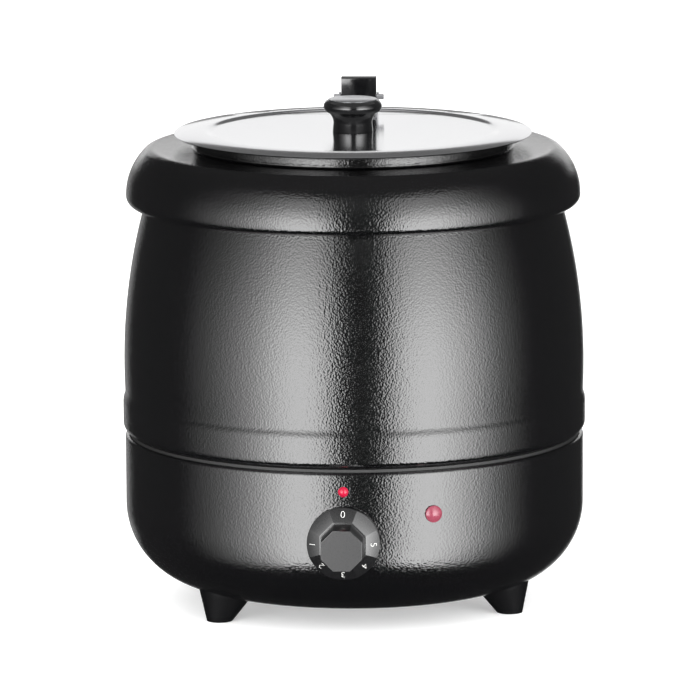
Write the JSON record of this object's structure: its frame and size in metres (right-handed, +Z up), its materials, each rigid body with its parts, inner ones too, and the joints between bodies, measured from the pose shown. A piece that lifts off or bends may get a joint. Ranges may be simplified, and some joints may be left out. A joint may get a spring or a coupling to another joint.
{
  "type": "soup kettle",
  "caption": "Round electric soup kettle with a black hammer-finish jacket, lift-out steel pot in a heated water well, split hinged lid, dial thermostat and pilot lamp on tapered feet.",
  "frame": {"origin": "on the floor under the middle of the kettle", "axes": "+Z up, -Y out of the front through the dial, +X to the right seen from the front"},
  "size_m": [0.34, 0.399, 0.3768],
  "materials": {
    "hammertone": "gloss black hammer paint on steel sheet",
    "polished_steel": "polished stainless steel",
    "satin_steel": "satin stainless steel",
    "zinc_steel": "zinc plated steel",
    "pressed_aluminium": "mill finish",
    "heater_sheath": "dull sheathed heater tube",
    "bakelite": "glossy black phenolic",
    "dial_plastic": "satin black moulded plastic",
    "nylon": "matt black nylon",
    "phenolic": "pale moulded insulator",
    "silicone": "black silicone",
    "foot_plastic": "black moulded foot",
    "lamp_red": "translucent red lens",
    "index_red": "glossy red",
    "dial_print": "white printed numbers",
    "copper": "drawn copper tube"
  },
  "bodies": {
    "kettle": {"base_bowl": "hammertone", "barrel_shell": "hammertone", "collar": "hammertone", "seam_gasket": "silicone", "seam_screws": "zinc_steel", "seam_nuts": "zinc_steel", "collar_studs": "zinc_steel", "collar_spacers": "zinc_steel", "collar_nuts": "zinc_steel", "water_well": "pressed_aluminium", "well_gasket": "silicone", "heating_element": "heater_sheath", "element_clamp": "zinc_steel", "well_stud": "zinc_steel", "stud_nuts": "zinc_steel", "heat_shield": "zinc_steel", "thermostat_saddle": "zinc_steel", "thermostat_body": "phenolic", "thermostat_screws": "zinc_steel", "sensor_bulb": "copper", "capillary_tube": "copper", "pilot_lens": "lamp_red", "pilot_lamp": "phenolic", "index_stud": "index_red", "gland_body": "nylon", "gland_cap": "nylon", "gland_locknut": "nylon", "bottom_cover": "hammertone", "cover_screws": "zinc_steel", "terminal_block": "phenolic", "foot_left": "foot_plastic", "foot_right": "foot_plastic", "foot_rear": "foot_plastic", "foot_bolts": "zinc_steel", "foot_nuts": "zinc_steel"},
    "pot": {"soup_pot": "satin_steel"},
    "lid_back": {"lid_rear_segment": "polished_steel", "hinge_block": "bakelite", "hinge_pin": "satin_steel", "block_screws": "satin_steel"},
    "lid_front": {"lid_flap": "polished_steel", "hinge_bracket": "satin_steel", "bracket_rivets": "satin_steel", "lid_knob": "bakelite", "knob_cap": "polished_steel", "knob_washer": "satin_steel", "knob_screw": "satin_steel"},
    "control": {"control_knob": "dial_plastic", "thermostat_spindle": "zinc_steel"}
  },
  "joints": [
    {"name": "pot_lift", "type": "slide", "parent": "kettle", "child": "pot", "axis": [0, 0, 1], "range_m": [0, 0.26]},
    {"name": "lid_lift", "type": "slide", "parent": "pot", "child": "lid_back", "axis": [0, 0, 1], "range_m": [0, 0.12]},
    {"name": "lid_hinge", "type": "hinge", "parent": "lid_back", "child": "lid_front", "pos_m": [0, 0.0941, 0.3616], "axis": [-1, 0, 0], "range_deg": [0, 110]},
    {"name": "control_turn", "type": "hinge", "parent": "kettle", "child": "control", "pos_m": [0, -0.1695, 0.0765], "axis": [0, 1, 0], "range_deg": [0, 270]}
  ]
}
